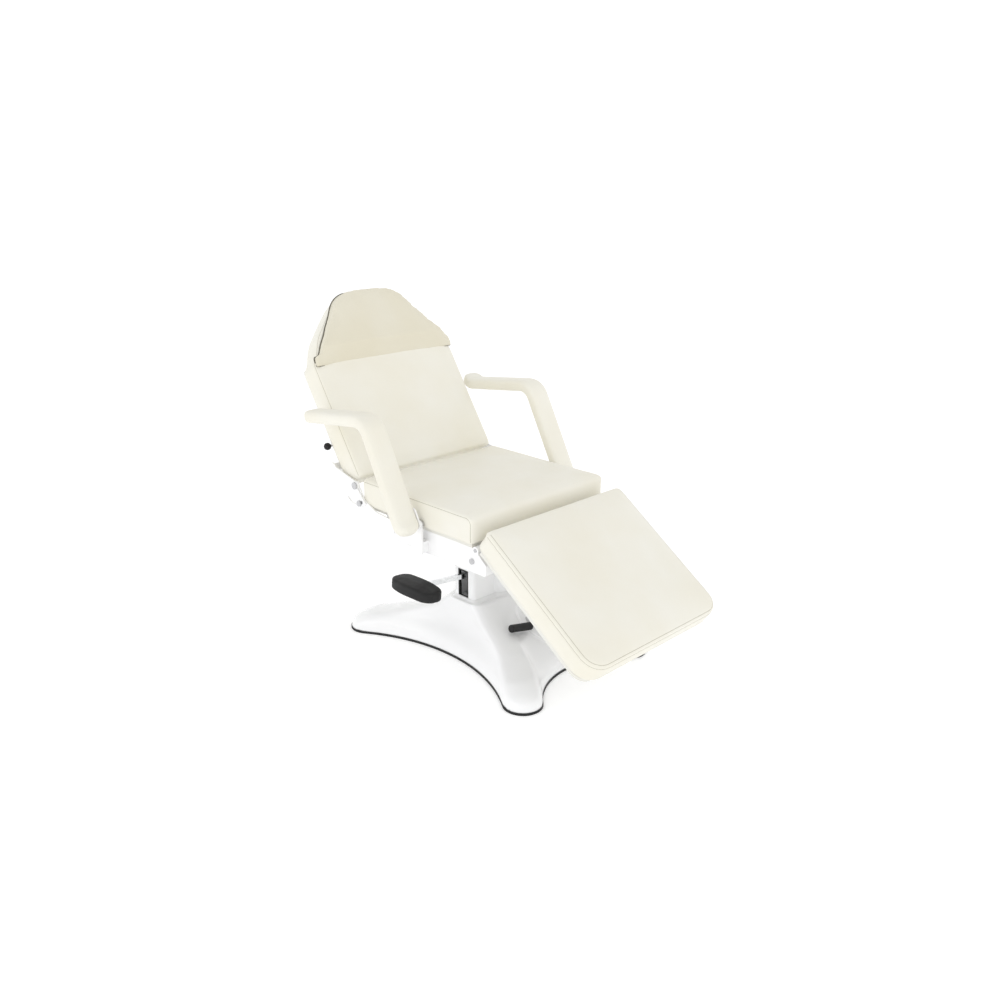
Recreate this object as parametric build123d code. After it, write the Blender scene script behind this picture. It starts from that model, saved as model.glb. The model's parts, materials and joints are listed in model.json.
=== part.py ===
from build123d import *
import math
import os

os.makedirs("parts", exist_ok=True)

# Hydraulic treatment bed. Millimetres, +Z up, origin on the floor under the column axis,
# -Y towards the foot end, +Y towards the head end.

# --- bed sections ---------------------------------------------------------------------------
bed_width = 600.0
half_bed = bed_width / 2
seat_top = 567.0
seat_front = -210.0
seat_rear = 316.0
seat_thick = 88.0
board_thick = 12.0
board_inset = 15.0

back_angle = 57.0
back_start = (322.0, 567.0)
back_thick = 89.0
back_straight = 395.0
back_length = 664.0
back_pivot = (335.0, 543.0)

pillow_start = 400.0
pillow_thick = 35.0
pillow_lip = 10.0

leg_angle = 35.1
leg_start = (-276.0, 545.0)
leg_thick = 85.0
leg_length = 512.0
leg_half = 303.0
leg_corner = 62.0
leg_pivot = (-211.5, 462.0)

# --- base -----------------------------------------------------------------------------------
trim_height = 8.0
trim_band = 12.0
trim_lip = 1.5
shell_wall = 3.0
# height, lobe centre x, lobe centre y, lobe radius, side waist, end waist
base_levels = (
    (8.0, 251.0, 377.0, 61.0, 196.0, 325.0),
    (40.0, 247.0, 370.0, 59.0, 192.0, 318.0),
    (60.0, 227.0, 344.0, 52.0, 182.0, 292.0),
    (72.0, 208.0, 315.0, 48.0, 172.0, 262.0),
    (84.0, 176.0, 265.0, 46.0, 163.0, 232.0),
    (100.0, 150.0, 214.0, 46.0, 156.0, 196.0),
    (120.0, 128.0, 155.0, 48.0, 150.0, 160.0),
    (150.0, 112.0, 88.0, 44.0, 146.0, 118.0),
    (190.0, 108.0, 40.0, 40.0, 144.0, 79.0),
)

# --- column ---------------------------------------------------------------------------------
column_radius = 58.0
column_top = 345.0
ram_radius = 30.0
spigot_radius = 20.0
running_clearance = 0.05
cover_bottom = 190.3
cover_top = 302.0
cover_wall = 4.0
cover_face = -142.0
cover_half = 48.0
cover_barrel = 68.0
slot_y = (-22.0, 25.0)
slot_z = (195.0, 295.0)
plate_bottom = 380.0
plate_top = 392.0

# --- seat frame -----------------------------------------------------------------------------
rail_inner = 256.0
rail_outer = 286.0
rail_wall = 3.0
tube_side = 25.0
pin_radius = 6.0
lock_radius = 5.0

# --- foot pedal -----------------------------------------------------------------------------
pedal_pivot = (-100.0, 270.0)
pedal_rise = 6.0
pedal_pad_centre = (-340.0, 8.0, 293.0)
pedal_pad_size = (86.0, 190.0, 38.0)

# --- armrests -------------------------------------------------------------------------------
arm_inner = 322.0
arm_outer = 404.0
arm_thick = 42.0
arm_foot = (12.0, 493.0)
arm_elbow = (173.0, 801.0)
arm_end = (499.0, 761.0)
arm_bend = 60.0
arm_bolt_radius = 8.0
bracket_inner = 310.0
bracket_outer = 315.5

SIDES = (("left", 1), ("right", -1))


def save(shape, name):
    shape.label = name
    export_step(shape, "parts/" + name + ".step")


def span(x0, x1, y0, y1, z0, z1):
    centre = Pos((x0 + x1) / 2, (y0 + y1) / 2, (z0 + z1) / 2)
    return centre * Box(x1 - x0, y1 - y0, z1 - z0)


def side_plate(sketch, sign, inner, outer):
    """Extrude a profile drawn in (Y, Z) between two distances from the middle plane."""
    low, high = sorted((sign * inner, sign * outer))
    return extrude(Plane.YZ.offset(low) * sketch, amount=high - low)


def cross_pin(sign, inner, outer, radius, point):
    """Round pin along X between two distances from the middle plane."""
    return side_plate(Pos(point[0], point[1]) * Circle(radius), sign, inner, outer)


def polar(centre, radius, degrees):
    angle = math.radians(degrees)
    return (centre[0] + radius * math.cos(angle), centre[1] + radius * math.sin(angle))


def wedge(centre, radius, start, stop, steps=6):
    """Pie-shaped polygon, used to trim rings to an arc."""
    rim = [polar(centre, radius, start + (stop - start) * i / steps) for i in range(steps + 1)]
    return make_face(Polyline(centre, *rim, close=True))


def arc_band(centre, middle, width, start, stop):
    """Round-ended band that follows an arc."""
    ring = Circle(middle + width / 2) - Circle(middle - width / 2)
    band = (Pos(*centre) * ring) & wedge(centre, middle * 3, start, stop)
    for degrees in (start, stop):
        band += Pos(*polar(centre, middle, degrees)) * Circle(width / 2)
    return band


def tilted(start, angle, towards):
    """Local frame of a bed section: X across, Y away from the hinge or towards it, Z out of it."""
    turn = math.radians(angle)
    normal = (0, -math.sin(turn), math.cos(turn))
    return Plane(origin=(0, start[0], start[1]), x_dir=(towards, 0, 0), z_dir=normal)


back_plane = tilted(back_start, back_angle, 1)
leg_plane = tilted(leg_start, leg_angle, -1)


# --- base -----------------------------------------------------------------------------------
def lobed_outline(level, inset=0.0, height=None):
    """Four-lobed outline: round lobes joined by arcs that touch them smoothly."""
    z, cx, cy, radius, side, end = level
    radius -= inset
    side -= inset
    end -= inset
    z = z if height is None else height

    def hollow(waist, along, across):
        gap = waist - along
        reach = (radius ** 2 - gap ** 2 - across ** 2) / (2 * (gap - radius))
        centre = waist + reach
        length = math.hypot(centre - along, across)
        return ((centre - along) / length, across / length)

    ux, uy = hollow(side, cx, cy)
    vy, vx = hollow(end, cy, cx)
    side_touch = (cx + radius * ux, cy - radius * uy)
    end_touch = (cx - radius * vx, cy + radius * vy)
    diagonal = math.hypot(cx, cy)
    tip = (cx * (1 + radius / diagonal), cy * (1 + radius / diagonal))
    edges = []
    for sx, sy in ((1, 1), (-1, 1), (-1, -1), (1, -1)):
        edges.append(
            ThreePointArc(
                (sx * side_touch[0], sy * side_touch[1], z),
                (sx * tip[0], sy * tip[1], z),
                (sx * end_touch[0], sy * end_touch[1], z),
            )
        )
    for s in (1, -1):
        x, y = side_touch
        edges.append(ThreePointArc((s * x, y, z), (s * side, 0, z), (s * x, -y, z)))
        x, y = end_touch
        edges.append(ThreePointArc((x, s * y, z), (0, s * end, z), (-x, s * y, z)))
    return make_face(Wire(edges))


def base_plate():
    return extrude(lobed_outline(base_levels[0], trim_band, 0), amount=trim_height)


def floor_trim():
    outer = lobed_outline(base_levels[0], -trim_lip, 0)
    return extrude(outer - lobed_outline(base_levels[0], trim_band, 0), amount=trim_height)


def base_shell():
    outer = loft([lobed_outline(level) for level in base_levels], ruled=True)
    inner = [lobed_outline(base_levels[0], shell_wall)]
    for level in base_levels[1:]:
        inner.append(lobed_outline(level, shell_wall, level[0] - 2.0))
    above = base_levels[-1][0] + 10.0
    inner.append(lobed_outline(base_levels[-1], shell_wall, above))
    hole = Pos(*lever_root) * Rot(90, 0, 0) * Cylinder(lever_bush_radius, 160)
    return (outer - loft(inner, ruled=True) - hole).solid()


# --- swivel lock lever on the base ------------------------------------------------------------
lever_root = (5.0, -150.0, 117.0)
lever_reach = -200.0
lever_rod_radius = 5.0
lever_bush_radius = 9.0
grip_radius = 13.0
grip_root = (-33.0, -200.0, 126.0)
grip_tip = (-123.0, -199.0, 146.0)


def rod_between(a, b, radius):
    along = Vector(*b) - Vector(*a)
    return extrude(Plane(origin=a, z_dir=along) * Circle(radius), amount=along.length)


def lock_lever_rod():
    start = (lever_root[0], -112.0, lever_root[2])
    corner = (lever_root[0], lever_reach, lever_root[2])
    inside = tuple(g + 0.7 * (t - g) for g, t in zip(grip_root, grip_tip))
    rod = rod_between(start, corner, lever_rod_radius)
    rod += Pos(*corner) * Sphere(lever_rod_radius)
    return rod + rod_between(corner, inside, lever_rod_radius)


def lock_lever_grip(rod):
    grip = rod_between(grip_root, grip_tip, grip_radius)
    grip = fillet(grip.edges().filter_by(GeomType.CIRCLE), 3)
    return grip - rod


def lock_lever_bush():
    bush = Cylinder(lever_bush_radius, 66) - Cylinder(lever_rod_radius + running_clearance, 66)
    return Pos(lever_root[0], -153.0, lever_root[2]) * Rot(90, 0, 0) * bush


# --- column -----------------------------------------------------------------------------------
def pump_body():
    body = Pos(0, 0, trim_height) * Cylinder(
        column_radius, column_top - trim_height, align=(Align.CENTER, Align.CENTER, Align.MIN)
    )
    bore_bottom = 40.0
    body -= Pos(0, 0, bore_bottom) * Cylinder(
        ram_radius + running_clearance,
        column_top - bore_bottom,
        align=(Align.CENTER, Align.CENTER, Align.MIN),
    )
    for y0, y1 in ((-13.0, -7.0), (7.0, 13.0)):
        body += span(pedal_pivot[0] - 11, -50, y0, y1, pedal_pivot[1] - 11, pedal_pivot[1] + 11)
    bore = Pos(pedal_pivot[0], 0, pedal_pivot[1]) * Rot(90, 0, 0) * Cylinder(5.0, 60)
    return (body - bore).solid()


def pedal_pin():
    return Pos(pedal_pivot[0], 0, pedal_pivot[1]) * Rot(90, 0, 0) * Cylinder(5.0, 32)


def keyhole(grow):
    """Cover outline: a round barrel with a square housing on the pedal side."""
    face = cover_face - grow
    half = cover_half + grow
    housing = Pos(face / 2, 0) * RectangleRounded(-face, 2 * half, 12 + grow)
    return Circle(cover_barrel + grow) + housing


def pump_cover():
    cover = Pos(0, 0, cover_bottom) * extrude(keyhole(0), amount=cover_top - cover_bottom)
    cavity = cover_top - cover_wall - cover_bottom
    cover -= Pos(0, 0, cover_bottom) * extrude(keyhole(-cover_wall), amount=cavity)
    cover -= Pos(0, 0, cover_top) * Cylinder(column_radius + 0.5, 30)
    cover -= span(cover_face - 1, cover_face + 10, *slot_y, *slot_z)
    return cover.solid()


def slot_liner():
    outer = span(cover_face + 0.5, cover_face + 9, *slot_y, *slot_z)
    inner = span(
        cover_face - 1, cover_face + 10, slot_y[0] + 5, slot_y[1] - 5, slot_z[0] + 5, slot_z[1] - 5
    )
    return outer - inner


def column_seal():
    ring = Cylinder(column_radius - 6, 6) - Cylinder(ram_radius + 0.3, 6)
    return Pos(0, 0, column_top + 3) * ring


def ram():
    align = (Align.CENTER, Align.CENTER, Align.MIN)
    shaft = Pos(0, 0, 60) * Cylinder(ram_radius, plate_bottom - 0.5 - 60, align=align)
    spigot = Pos(0, 0, 300) * Cylinder(spigot_radius, plate_top - 300 + 0.3, align=align)
    return shaft + spigot


def head_collar():
    height = plate_bottom - 0.5 - 352.5
    ring = Cylinder(column_radius, height) - Cylinder(ram_radius, height)
    return Pos(0, 0, 352.5 + height / 2) * ring


def ram_cap():
    return Pos(0, 0, plate_top + 0.3 + 3) * Cylinder(27, 6)


# --- foot pedal -------------------------------------------------------------------------------
def pedal_arm():
    length = 196.0
    height = 16.0
    arm = Pos(-length / 2, 0, 0) * Box(length, 12, height)
    arm += Rot(90, 0, 0) * Cylinder(11, 12)
    arm -= Rot(90, 0, 0) * Cylinder(5.0 + running_clearance, 20)
    return Pos(pedal_pivot[0], 0, pedal_pivot[1]) * Rot(0, pedal_rise, 0) * arm


def pedal_pad(arm):
    pad = Box(*pedal_pad_size)
    pad = fillet(pad.edges().filter_by(Axis.Z), 30)
    pad = fillet(pad.faces().sort_by(Axis.Z)[-1].edges(), 8)
    return (Pos(*pedal_pad_centre) * Rot(0, pedal_rise, 0) * pad - arm).solid()


# --- seat frame -------------------------------------------------------------------------------
def mount_plate():
    plate = span(-110, 110, -100, 100, plate_bottom, plate_top)
    return plate - Pos(0, 0, plate_top) * Cylinder(spigot_radius + running_clearance, 60)


def cross_tube(y):
    outer = span(-rail_inner, rail_inner, y - 12.5, y + 12.5, plate_top, plate_top + tube_side)
    inner = span(-rail_inner, rail_inner, y - 10, y + 10, plate_top + 2.5, plate_top + 22.5)
    return outer - inner


def rail(sign):
    py, pz = leg_pivot
    top = seat_top - seat_thick - board_thick
    outline = Polyline(
        (205, top), (-196, top), (py, pz), (-226, 450), (-257, 425), (-257, 396), (-250, 390),
        (205, 390), close=True,
    )
    face = make_face(outline)
    web = side_plate(face, sign, rail_inner, rail_outer)
    web -= side_plate(offset(face, -rail_wall), sign, rail_inner - 1, rail_outer - rail_wall)
    lock_at = polar(leg_pivot, leg_lock_arm, leg_lock_angle)
    web += cross_pin(sign, rail_inner, rail_outer, 12, leg_pivot)
    web += cross_pin(sign, rail_inner, rail_outer, 9, lock_at)
    web -= cross_pin(sign, rail_inner - 2, rail_outer + 2, pin_radius, leg_pivot)
    web -= cross_pin(sign, rail_inner - 2, rail_outer + 2, lock_radius, lock_at)
    return web.solid()


def seat_board():
    top = seat_top - seat_thick
    x = half_bed - board_inset
    return span(-x, x, -196, seat_rear - board_inset, top - board_thick, top)


def seat_cushion():
    return span(-half_bed, half_bed, seat_front, seat_rear, seat_top - seat_thick, seat_top)


back_lock_arm = 60.0
back_lock_angle = 250.0
back_travel = (-13.0, 57.0)
leg_lock_arm = 40.0
leg_lock_angle = 290.0
leg_travel = (-8.0, leg_angle)
seat_hinge_x = (301.5, 306.5)
back_hinge_x = (307.5, 312.5)


def hinge_spacers():
    parts = [span(*sorted((s * rail_outer, s * seat_hinge_x[0])), 150, 200, 430, 462)
             for name, s in SIDES]
    return Compound(children=parts)


def seat_hinge(sign):
    py, pz = back_pivot
    outline = Polyline(
        (146, 425), (146, 466), (236, 474), (296, 500), (py - 13, pz), (py + 13, pz),
        (346, 500), (326, 458), (290, 425), close=True,
    )
    face = make_face(outline) + Pos(py, pz) * Circle(13)
    plate = side_plate(face, sign, *seat_hinge_x)
    plate -= cross_pin(sign, 300, 308, pin_radius + 1, back_pivot)
    lock_at = polar(back_pivot, back_lock_arm, back_lock_angle)
    return plate - cross_pin(sign, 300, 308, lock_radius, lock_at)


def back_pins():
    parts = []
    for name, s in SIDES:
        pin = cross_pin(s, seat_hinge_x[0], 313.2, pin_radius + 1, back_pivot)
        parts.append(pin + cross_pin(s, 313.2, 318.0, 12, back_pivot))
    return Compound(children=parts)


def back_lock_bolts():
    at = polar(back_pivot, back_lock_arm, back_lock_angle)
    parts = []
    for name, s in SIDES:
        bolt = cross_pin(s, seat_hinge_x[0], 313.2, lock_radius, at)
        parts.append(bolt + cross_pin(s, 313.2, 318.0, 10, at))
    return Compound(children=parts)


def leg_pins():
    return Compound(children=[cross_pin(s, 240, 288, pin_radius, leg_pivot) for n, s in SIDES])


def leg_lock_bolts():
    at = polar(leg_pivot, leg_lock_arm, leg_lock_angle)
    parts = []
    for name, s in SIDES:
        bolt = cross_pin(s, 245.5, rail_outer, lock_radius, at)
        parts.append(bolt + cross_pin(s, rail_outer, rail_outer + 5, 9, at))
    return Compound(children=parts)


# --- backrest ---------------------------------------------------------------------------------
def head_outline(points, start):
    """Symmetric outline: straight sides up to the first point, then a smooth tapered head."""
    first = points[0]
    last = points[-1]
    right = Spline(*points, tangents=((0, 1), (-1, 0)))
    mirrored = [(-x, y) for x, y in reversed(points)]
    left = Spline(*mirrored, tangents=((-1, 0), (0, -1)))
    foot = Polyline((-first[0], first[1]), (-first[0], start), (first[0], start), first)
    top = Line(last, mirrored[0]) if last[0] > 0 else None
    edges = [right, left, foot] + ([top] if top else [])
    return make_face(Wire([e for part in edges for e in part.edges()]))


back_points = ((300, back_straight), (291, 425), (251, 494), (218, 534), (185, 569), (150, 603),
               (118, 632), (85, 653), (45, back_length))


def back_cushion():
    face = head_outline(back_points, 0)
    return back_plane * extrude(face, amount=-back_thick)


def back_board():
    points = [(x - board_inset if x > 60 else 45, min(y, back_length - board_inset) - 6)
              for x, y in back_points]
    face = head_outline(points, board_inset)
    return back_plane * Pos(0, 0, -back_thick) * extrude(face, amount=-board_thick)


back_rear = -(back_thick + board_thick)


def back_tube(sign):
    low, high = sorted((sign * 200, sign * 225))
    return back_plane * hollow_tube((low, high), (95, 470), (back_rear - tube_side, back_rear), "Y")


def hollow_tube(xs, ys, zs, along, wall=2.5):
    """Square tube between the given limits, open along one axis."""
    outer = span(*xs, *ys, *zs)
    limits = [list(xs), list(ys), list(zs)]
    for i, axis in enumerate("XYZ"):
        if axis != along:
            limits[i] = [limits[i][0] + wall, limits[i][1] - wall]
    return outer - span(*limits[0], *limits[1], *limits[2])


def back_cross(start):
    """Cross tube behind the board; the lower one reaches out to the hinge plates."""
    half = back_hinge_x[0] if start < 100 else 200
    zs = (back_rear - tube_side, back_rear)
    return back_plane * hollow_tube((-half, half), (start, start + tube_side), zs, "X")


def back_hinge(sign):
    py, pz = back_pivot
    low = back_lock_angle + back_travel[0]
    high = back_lock_angle + back_travel[1]
    tube_mid = back_plane.from_local_coords((0, 82.5, back_rear - tube_side / 2))
    end = (tube_mid.Y, tube_mid.Z)
    reach = math.hypot(end[0] - py, end[1] - pz)
    heading = math.degrees(math.atan2(end[1] - pz, end[0] - py))
    face = (Pos(py, pz) * Circle(73)) & wedge(back_pivot, 300, low - 12, high + 14, 8)
    face += (Pos(py, pz) * Circle(40)) & wedge(back_pivot, 300, low - 12, heading + 360, 8)
    face += Pos(py, pz) * Circle(15)
    face += Pos(py, pz) * Rot(0, 0, heading) * Pos(reach / 2, 0) * Rectangle(reach, 28)
    face += Pos(*end) * Circle(22)
    face -= arc_band(back_pivot, back_lock_arm, 2 * lock_radius + 0.6, low, high)
    face -= Pos(py, pz) * Circle(pin_radius + 1 + running_clearance)
    return side_plate(face, sign, *back_hinge_x)


def head_pillow():
    points = ((298, 412), (283, 437), (255, 471), (230, 502), (205, 538), (181, 569), (156, 606),
              (132, 630), (100, 647), (60, 653))
    pillow = extrude(head_outline(points, pillow_start), amount=pillow_thick)
    slope = Polyline(
        (pillow_start - 1, pillow_lip), (pillow_start - 1, pillow_thick + 1),
        (pillow_start + 62, pillow_thick + 1), close=True,
    )
    cutter = extrude(Plane.YZ.offset(-310) * make_face(slope), amount=620)
    return back_plane * Pos(0, 0, 0.5) * (pillow - cutter)


# --- recline release lever --------------------------------------------------------------------
knob_along = 158.0
knob_depth = -107.0
knob_x = -300.0
knob_radius = 12.5
release_pivot_x = -243.0


def release_lever():
    rod = rod_between((release_pivot_x, knob_along, knob_depth), (-306, knob_along, knob_depth), 4)
    eye = Pos(release_pivot_x, knob_along, knob_depth) * Cylinder(9, 8)
    bore = Pos(release_pivot_x, knob_along, knob_depth) * Cylinder(4 + running_clearance, 20)
    return back_plane * (rod + eye - bore)


def release_knob(lever):
    return back_plane * Pos(knob_x, knob_along, knob_depth) * Sphere(knob_radius) - lever


def release_stud():
    align = (Align.CENTER, Align.CENTER, Align.MAX)
    at = Pos(release_pivot_x, knob_along, back_rear)
    stud = at * Cylinder(4, 14, align=align)
    return back_plane * (stud + at * Pos(0, 0, -11) * Cylinder(7, 3, align=align))


# --- leg rest ---------------------------------------------------------------------------------
def leg_cushion():
    outline = Pos(0, leg_length / 2) * Rectangle(2 * leg_half, leg_length)
    outline = fillet(outline.vertices().sort_by(Axis.Y)[-2:], leg_corner)
    return leg_plane * extrude(outline, amount=-leg_thick)


leg_under = -leg_thick - board_thick


def leg_board():
    x = leg_half - board_inset
    outline = Pos(0, leg_length / 2) * Rectangle(2 * x, leg_length - 2 * board_inset)
    outline = fillet(outline.vertices().sort_by(Axis.Y)[-2:], leg_corner - board_inset)
    return leg_plane * Pos(0, 0, -leg_thick) * extrude(outline, amount=-board_thick)


def leg_tube(sign):
    low, high = sorted((sign * 222, sign * 247))
    return leg_plane * hollow_tube((low, high), (30, 430), (leg_under - tube_side, leg_under), "Y")


def leg_cross(start):
    zs = (leg_under - tube_side, leg_under)
    return leg_plane * hollow_tube((-222, 222), (start, start + tube_side), zs, "X")


def leg_lug(sign):
    low = leg_lock_angle + leg_travel[0]
    high = leg_lock_angle + leg_travel[1]
    heading = 180 + leg_angle
    face = (Pos(*leg_pivot) * Circle(53)) & wedge(leg_pivot, 300, heading - 4, high + 16, 8)
    face += Pos(*leg_pivot) * Circle(12)
    strip = Pos(*leg_pivot) * Rot(0, 0, heading) * Pos(60, 8) * Rectangle(120, 20)
    face += strip
    face -= arc_band(leg_pivot, leg_lock_arm, 2 * lock_radius + 0.6, low, high)
    face -= Pos(*leg_pivot) * Circle(pin_radius + running_clearance)
    return side_plate(face, sign, 247.5, 253.5)


# --- armrests ---------------------------------------------------------------------------------
def capsule(a, b, width):
    length = math.hypot(b[0] - a[0], b[1] - a[1])
    heading = math.degrees(math.atan2(b[1] - a[1], b[0] - a[0]))
    middle = Pos((a[0] + b[0]) / 2, (a[1] + b[1]) / 2)
    return middle * Rot(0, 0, heading) * SlotCenterToCenter(length, width)


def arm_profile():
    """Raked post and level pad of one thickness, joined by a round elbow."""
    rake = math.atan2(arm_elbow[1] - arm_foot[1], arm_elbow[0] - arm_foot[0])
    pad = math.atan2(arm_end[1] - arm_elbow[1], arm_end[0] - arm_elbow[0])
    setback = arm_bend * math.tan((rake - pad) / 2)
    low = polar(arm_elbow, setback, math.degrees(rake) + 180)
    far = polar(arm_elbow, setback, math.degrees(pad))
    centre = polar(low, arm_bend, math.degrees(rake) - 90)
    ring = Circle(arm_bend + arm_thick / 2) - Circle(arm_bend - arm_thick / 2)
    elbow = (Pos(*centre) * ring) & wedge(
        centre, 200, math.degrees(pad) + 90, math.degrees(rake) + 90
    )
    return capsule(arm_foot, low, arm_thick) + elbow + capsule(far, arm_end, arm_thick)


def armrest(sign):
    arm = side_plate(arm_profile(), sign, arm_inner, arm_outer)
    return arm - cross_pin(sign, arm_inner - 1, 374, arm_bolt_radius + running_clearance, arm_foot)


def arm_plate(sign):
    rake = math.degrees(math.atan2(arm_elbow[1] - arm_foot[1], arm_elbow[0] - arm_foot[0]))
    top = polar(arm_foot, 40, rake)
    plate = side_plate(capsule(arm_foot, top, 28), sign, bracket_outer + 1, arm_inner)
    hole = cross_pin(sign, bracket_outer, arm_inner + 1, arm_bolt_radius + running_clearance, arm_foot)
    return plate - hole


def arm_bracket(sign):
    py, pz = arm_foot
    face = make_face(Polyline(
        (py - 14, 396), (py + 36, 396), (py + 36, 440), (py + 14, pz), (py - 13, pz),
        (py - 14, 440), close=True,
    ))
    face += Pos(py, pz) * Circle(13)
    plate = side_plate(face, sign, bracket_inner, bracket_outer)
    plate -= cross_pin(sign, bracket_inner - 1, bracket_outer + 1, arm_bolt_radius, arm_foot)
    foot = span(*sorted((sign * rail_outer, sign * bracket_inner)), py - 12, py + 32, 400, 436)
    return plate + foot


def arm_bolts():
    parts = []
    for name, s in SIDES:
        bolt = cross_pin(s, bracket_inner, 370, arm_bolt_radius, arm_foot)
        parts.append(bolt + cross_pin(s, bracket_inner - 6, bracket_inner, 13, arm_foot))
    return Compound(children=parts)


# --- write every piece ------------------------------------------------------------------------
save(base_plate(), "base_plate")
save(floor_trim(), "floor_trim")
save(base_shell(), "base_shell")
save(pump_body(), "pump_body")
save(pump_cover(), "pump_cover")
save(slot_liner(), "slot_liner")
save(column_seal(), "column_seal")
save(pedal_pin(), "pedal_pin")
save(lock_lever_bush(), "lock_lever_bush")
lever_rod = lock_lever_rod()
save(lever_rod, "lock_lever_rod")
save(lock_lever_grip(lever_rod), "lock_lever_grip")
save(ram(), "ram")
save(head_collar(), "head_collar")
save(ram_cap(), "ram_cap")
arm_bar = pedal_arm()
save(arm_bar, "pedal_arm")
save(pedal_pad(arm_bar), "pedal_pad")
save(mount_plate(), "mount_plate")
save(cross_tube(-80), "cross_tube_front")
save(cross_tube(80), "cross_tube_rear")
save(seat_board(), "seat_board")
save(seat_cushion(), "seat_cushion")
save(hinge_spacers(), "hinge_spacers")
save(back_pins(), "back_pins")
save(back_lock_bolts(), "back_lock_bolts")
save(leg_pins(), "leg_pins")
save(leg_lock_bolts(), "leg_lock_bolts")
save(arm_bolts(), "arm_bolts")
save(back_cushion(), "back_cushion")
save(back_board(), "back_board")
save(back_cross(70), "back_cross_low")
save(back_cross(445), "back_cross_high")
save(head_pillow(), "head_pillow")
lever = release_lever()
save(lever, "release_lever")
save(release_knob(lever), "release_knob")
save(release_stud(), "release_stud")
save(leg_cushion(), "leg_cushion")
save(leg_board(), "leg_board")
save(leg_cross(60), "leg_cross_near")
save(leg_cross(405), "leg_cross_far")
for side_name, side_sign in SIDES:
    save(rail(side_sign), "rail_" + side_name)
    save(seat_hinge(side_sign), "seat_hinge_" + side_name)
    save(back_hinge(side_sign), "back_hinge_" + side_name)
    save(back_tube(side_sign), "back_tube_" + side_name)
    save(leg_tube(side_sign), "leg_tube_" + side_name)
    save(leg_lug(side_sign), "leg_lug_" + side_name)
    save(arm_bracket(side_sign), "arm_bracket_" + side_name)
    save(arm_plate(side_sign), "arm_plate_" + side_name)
    save(armrest(side_sign), "armrest_" + side_name)
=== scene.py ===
import bpy
import bmesh
import json
import math
from mathutils import Matrix, Vector, noise
from mathutils.bvhtree import BVHTree
from mathutils.kdtree import KDTree


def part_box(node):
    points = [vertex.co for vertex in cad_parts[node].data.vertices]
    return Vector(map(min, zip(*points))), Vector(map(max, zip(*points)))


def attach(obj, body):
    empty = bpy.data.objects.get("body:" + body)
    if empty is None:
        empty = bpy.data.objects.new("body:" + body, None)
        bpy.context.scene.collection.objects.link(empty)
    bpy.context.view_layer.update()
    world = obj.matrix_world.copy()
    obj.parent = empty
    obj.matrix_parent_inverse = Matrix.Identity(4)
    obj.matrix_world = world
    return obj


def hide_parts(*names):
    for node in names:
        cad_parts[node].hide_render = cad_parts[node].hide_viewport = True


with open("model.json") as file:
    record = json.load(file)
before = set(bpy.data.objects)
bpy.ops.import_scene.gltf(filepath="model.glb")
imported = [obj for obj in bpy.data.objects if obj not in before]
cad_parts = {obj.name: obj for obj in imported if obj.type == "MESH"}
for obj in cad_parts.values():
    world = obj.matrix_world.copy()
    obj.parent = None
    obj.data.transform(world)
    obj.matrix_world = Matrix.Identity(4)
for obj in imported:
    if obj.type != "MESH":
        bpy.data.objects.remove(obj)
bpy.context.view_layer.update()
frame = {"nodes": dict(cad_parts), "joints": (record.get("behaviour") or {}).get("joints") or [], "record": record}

nodes = frame["nodes"]
joints = {j["name"]: j for j in frame["joints"]}

# ------------------------------------------------------------------ camera
AZIMUTH, ELEVATION, DISTANCE = math.radians(-44.59), math.radians(18.89), 3.168
TARGET = Vector((0.0, -0.025, 0.506))
back_vec = Vector((math.sin(AZIMUTH) * math.cos(ELEVATION),
                   -math.cos(AZIMUTH) * math.cos(ELEVATION), math.sin(ELEVATION)))
camera = bpy.data.objects.new("camera", bpy.data.cameras.new("camera"))
bpy.context.scene.collection.objects.link(camera)
camera.location = TARGET + back_vec * DISTANCE
camera.rotation_euler = (TARGET - camera.location).to_track_quat("-Z", "Y").to_euler()
camera.data.sensor_width = 36.0
camera.data.lens = 35.04
camera.data.clip_end = 60
bpy.context.scene.camera = camera


# ------------------------------------------------------------------ mesh helpers
def add_object(name, verts, faces, smooth=True):
    mesh = bpy.data.meshes.new(name)
    mesh.from_pydata([tuple(v) for v in verts], [], faces)
    mesh.validate()
    if smooth:
        mesh.polygons.foreach_set("use_smooth", [True] * len(mesh.polygons))
    obj = bpy.data.objects.new(name, mesh)
    bpy.context.scene.collection.objects.link(obj)
    return obj


def finish_normals(obj):
    bm = bmesh.new()
    bm.from_mesh(obj.data)
    bmesh.ops.recalc_face_normals(bm, faces=bm.faces)
    bm.to_mesh(obj.data)
    bm.free()
    return obj


def apply_modifiers(obj):
    depsgraph = bpy.context.evaluated_depsgraph_get()
    depsgraph.update()
    mesh = bpy.data.meshes.new_from_object(obj.evaluated_get(depsgraph))
    old = obj.data
    obj.modifiers.clear()
    obj.data = mesh
    mesh.name = old.name + "_done"
    bpy.data.meshes.remove(old)
    mesh.polygons.foreach_set("use_smooth", [True] * len(mesh.polygons))
    return obj


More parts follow.
